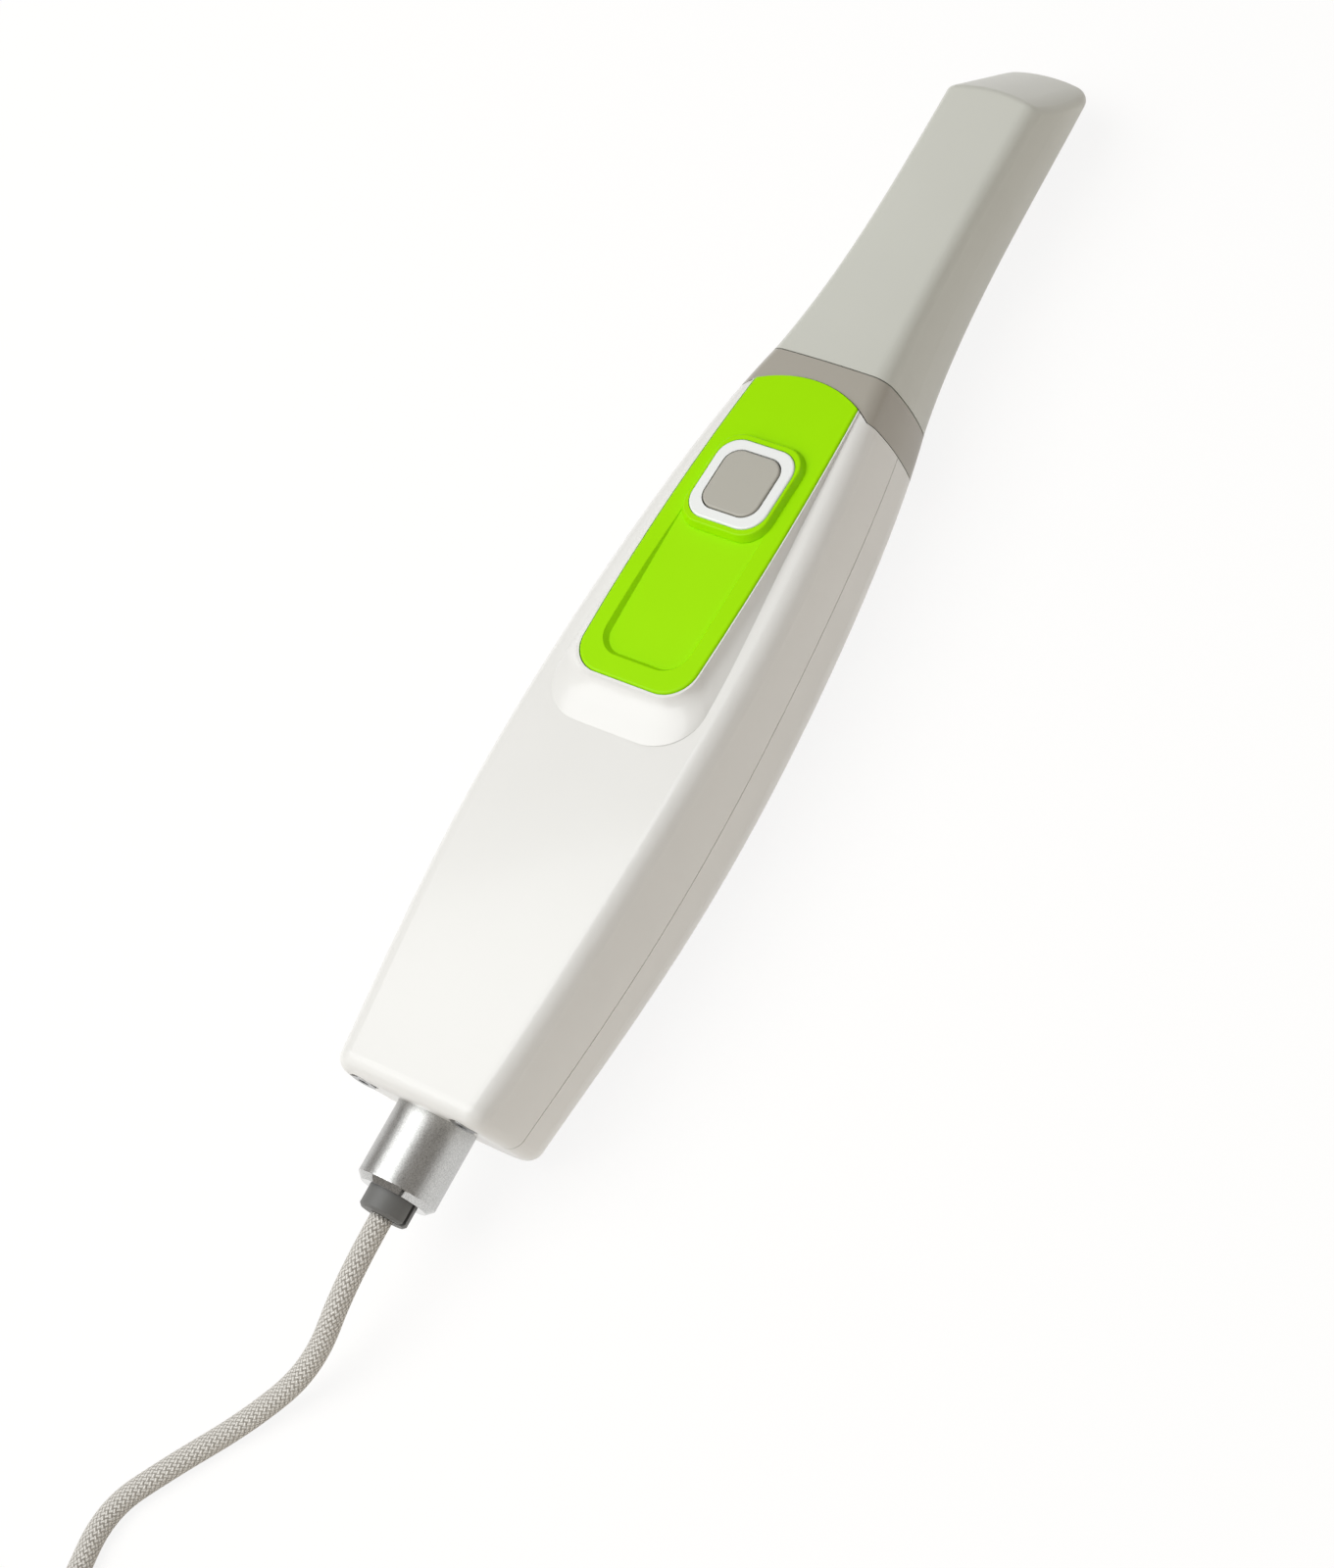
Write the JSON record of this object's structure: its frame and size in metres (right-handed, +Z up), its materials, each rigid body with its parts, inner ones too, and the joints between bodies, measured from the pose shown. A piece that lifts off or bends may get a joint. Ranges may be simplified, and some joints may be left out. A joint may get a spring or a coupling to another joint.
{
  "type": "intraoral scanner",
  "caption": "Handheld dental scanning wand with a panel button, a pull-off hollow tip with a slanted mirror nose, and a braided cable.",
  "frame": {"origin": "under the middle of the wand, from the gland's end to the nose, on the surface its belly lies on", "axes": "+X along the wand towards the tip, +Z up out of the control panel, +Y to the left seen from the rear"},
  "size_m": [0.4227, 0.0653, 0.0359],
  "materials": {
    "white_shell": "satin moulded",
    "green_panel": "gloss moulded",
    "ring_white": "translucent satin",
    "cap_grey": "matte",
    "collar_taupe": "satin",
    "tip_grey": "satin",
    "mirror_face": "front-silvered glass",
    "snout_dark": "matte black",
    "clear_glass": "clear",
    "soft_rubber": "soft",
    "sleeve_metal": "bead-blasted",
    "gland_grey": "matte",
    "tray_metal": "milled",
    "board_green": "solder mask",
    "chip_black": "moulded",
    "led_white": "phosphor",
    "barrel_black": "black anodised",
    "screw_steel": "plated",
    "cord_braid": "braided",
    "lead_jacket": "smooth jacket",
    "tie_black": "woven",
    "plug_dark": "moulded",
    "plug_metal": "nickel plated"
  },
  "bodies": {
    "handle": {"board_connector": "chip_black", "board_screw_1": "screw_steel", "board_screw_2": "screw_steel", "board_screw_3": "screw_steel", "board_screw_4": "screw_steel", "button_board": "board_green", "cable": "cord_braid", "cable_coil": "cord_braid", "cable_gland": "gland_grey", "cable_sleeve": "sleeve_metal", "cable_tail": "cord_braid", "cable_tie": "tie_black", "camera_barrel": "barrel_black", "camera_lens": "clear_glass", "chassis": "tray_metal", "chassis_screw_1": "screw_steel", "chassis_screw_2": "screw_steel", "chassis_screw_3": "screw_steel", "chassis_screw_4": "screw_steel", "control_panel": "green_panel", "front_collar": "collar_taupe", "grip_ring": "soft_rubber", "heat_spreader": "tray_metal", "housing_screw_1": "screw_steel", "housing_screw_2": "screw_steel", "image_sensor": "chip_black", "inner_lead": "lead_jacket", "lead_plug": "chip_black", "led_board": "board_green", "light_ring": "ring_white", "lower_shell": "white_shell", "main_board": "board_green", "memory_chip": "chip_black", "nose_tube": "snout_dark", "nose_window": "clear_glass", "optics_block": "snout_dark", "pattern_slide": "clear_glass", "plug_body": "plug_dark", "plug_shell": "plug_metal", "plug_tongue": "plug_dark", "processor": "chip_black", "projector_barrel": "barrel_black", "projector_led": "led_white", "projector_lens": "clear_glass", "sensor_board": "board_green", "sleeve_nut": "sleeve_metal", "status_led_1": "led_white", "status_led_2": "led_white", "status_led_3": "led_white", "status_led_4": "led_white", "tact_switch": "chip_black", "upper_shell": "white_shell"},
    "tip": {"scan_tip": "tip_grey", "tip_mirror": "mirror_face"},
    "button": {"button_cap": "cap_grey"}
  },
  "joints": [
    {"name": "tip_slide", "type": "slide", "parent": "handle", "child": "tip", "axis": [1, 0, 0], "range_m": [0, 0.052]},
    {"name": "button_press", "type": "slide", "parent": "handle", "child": "button", "axis": [-0.0868, 0, -0.9962], "range_m": [0, 0.0006], "stiffness_N_per_m": 2500}
  ]
}
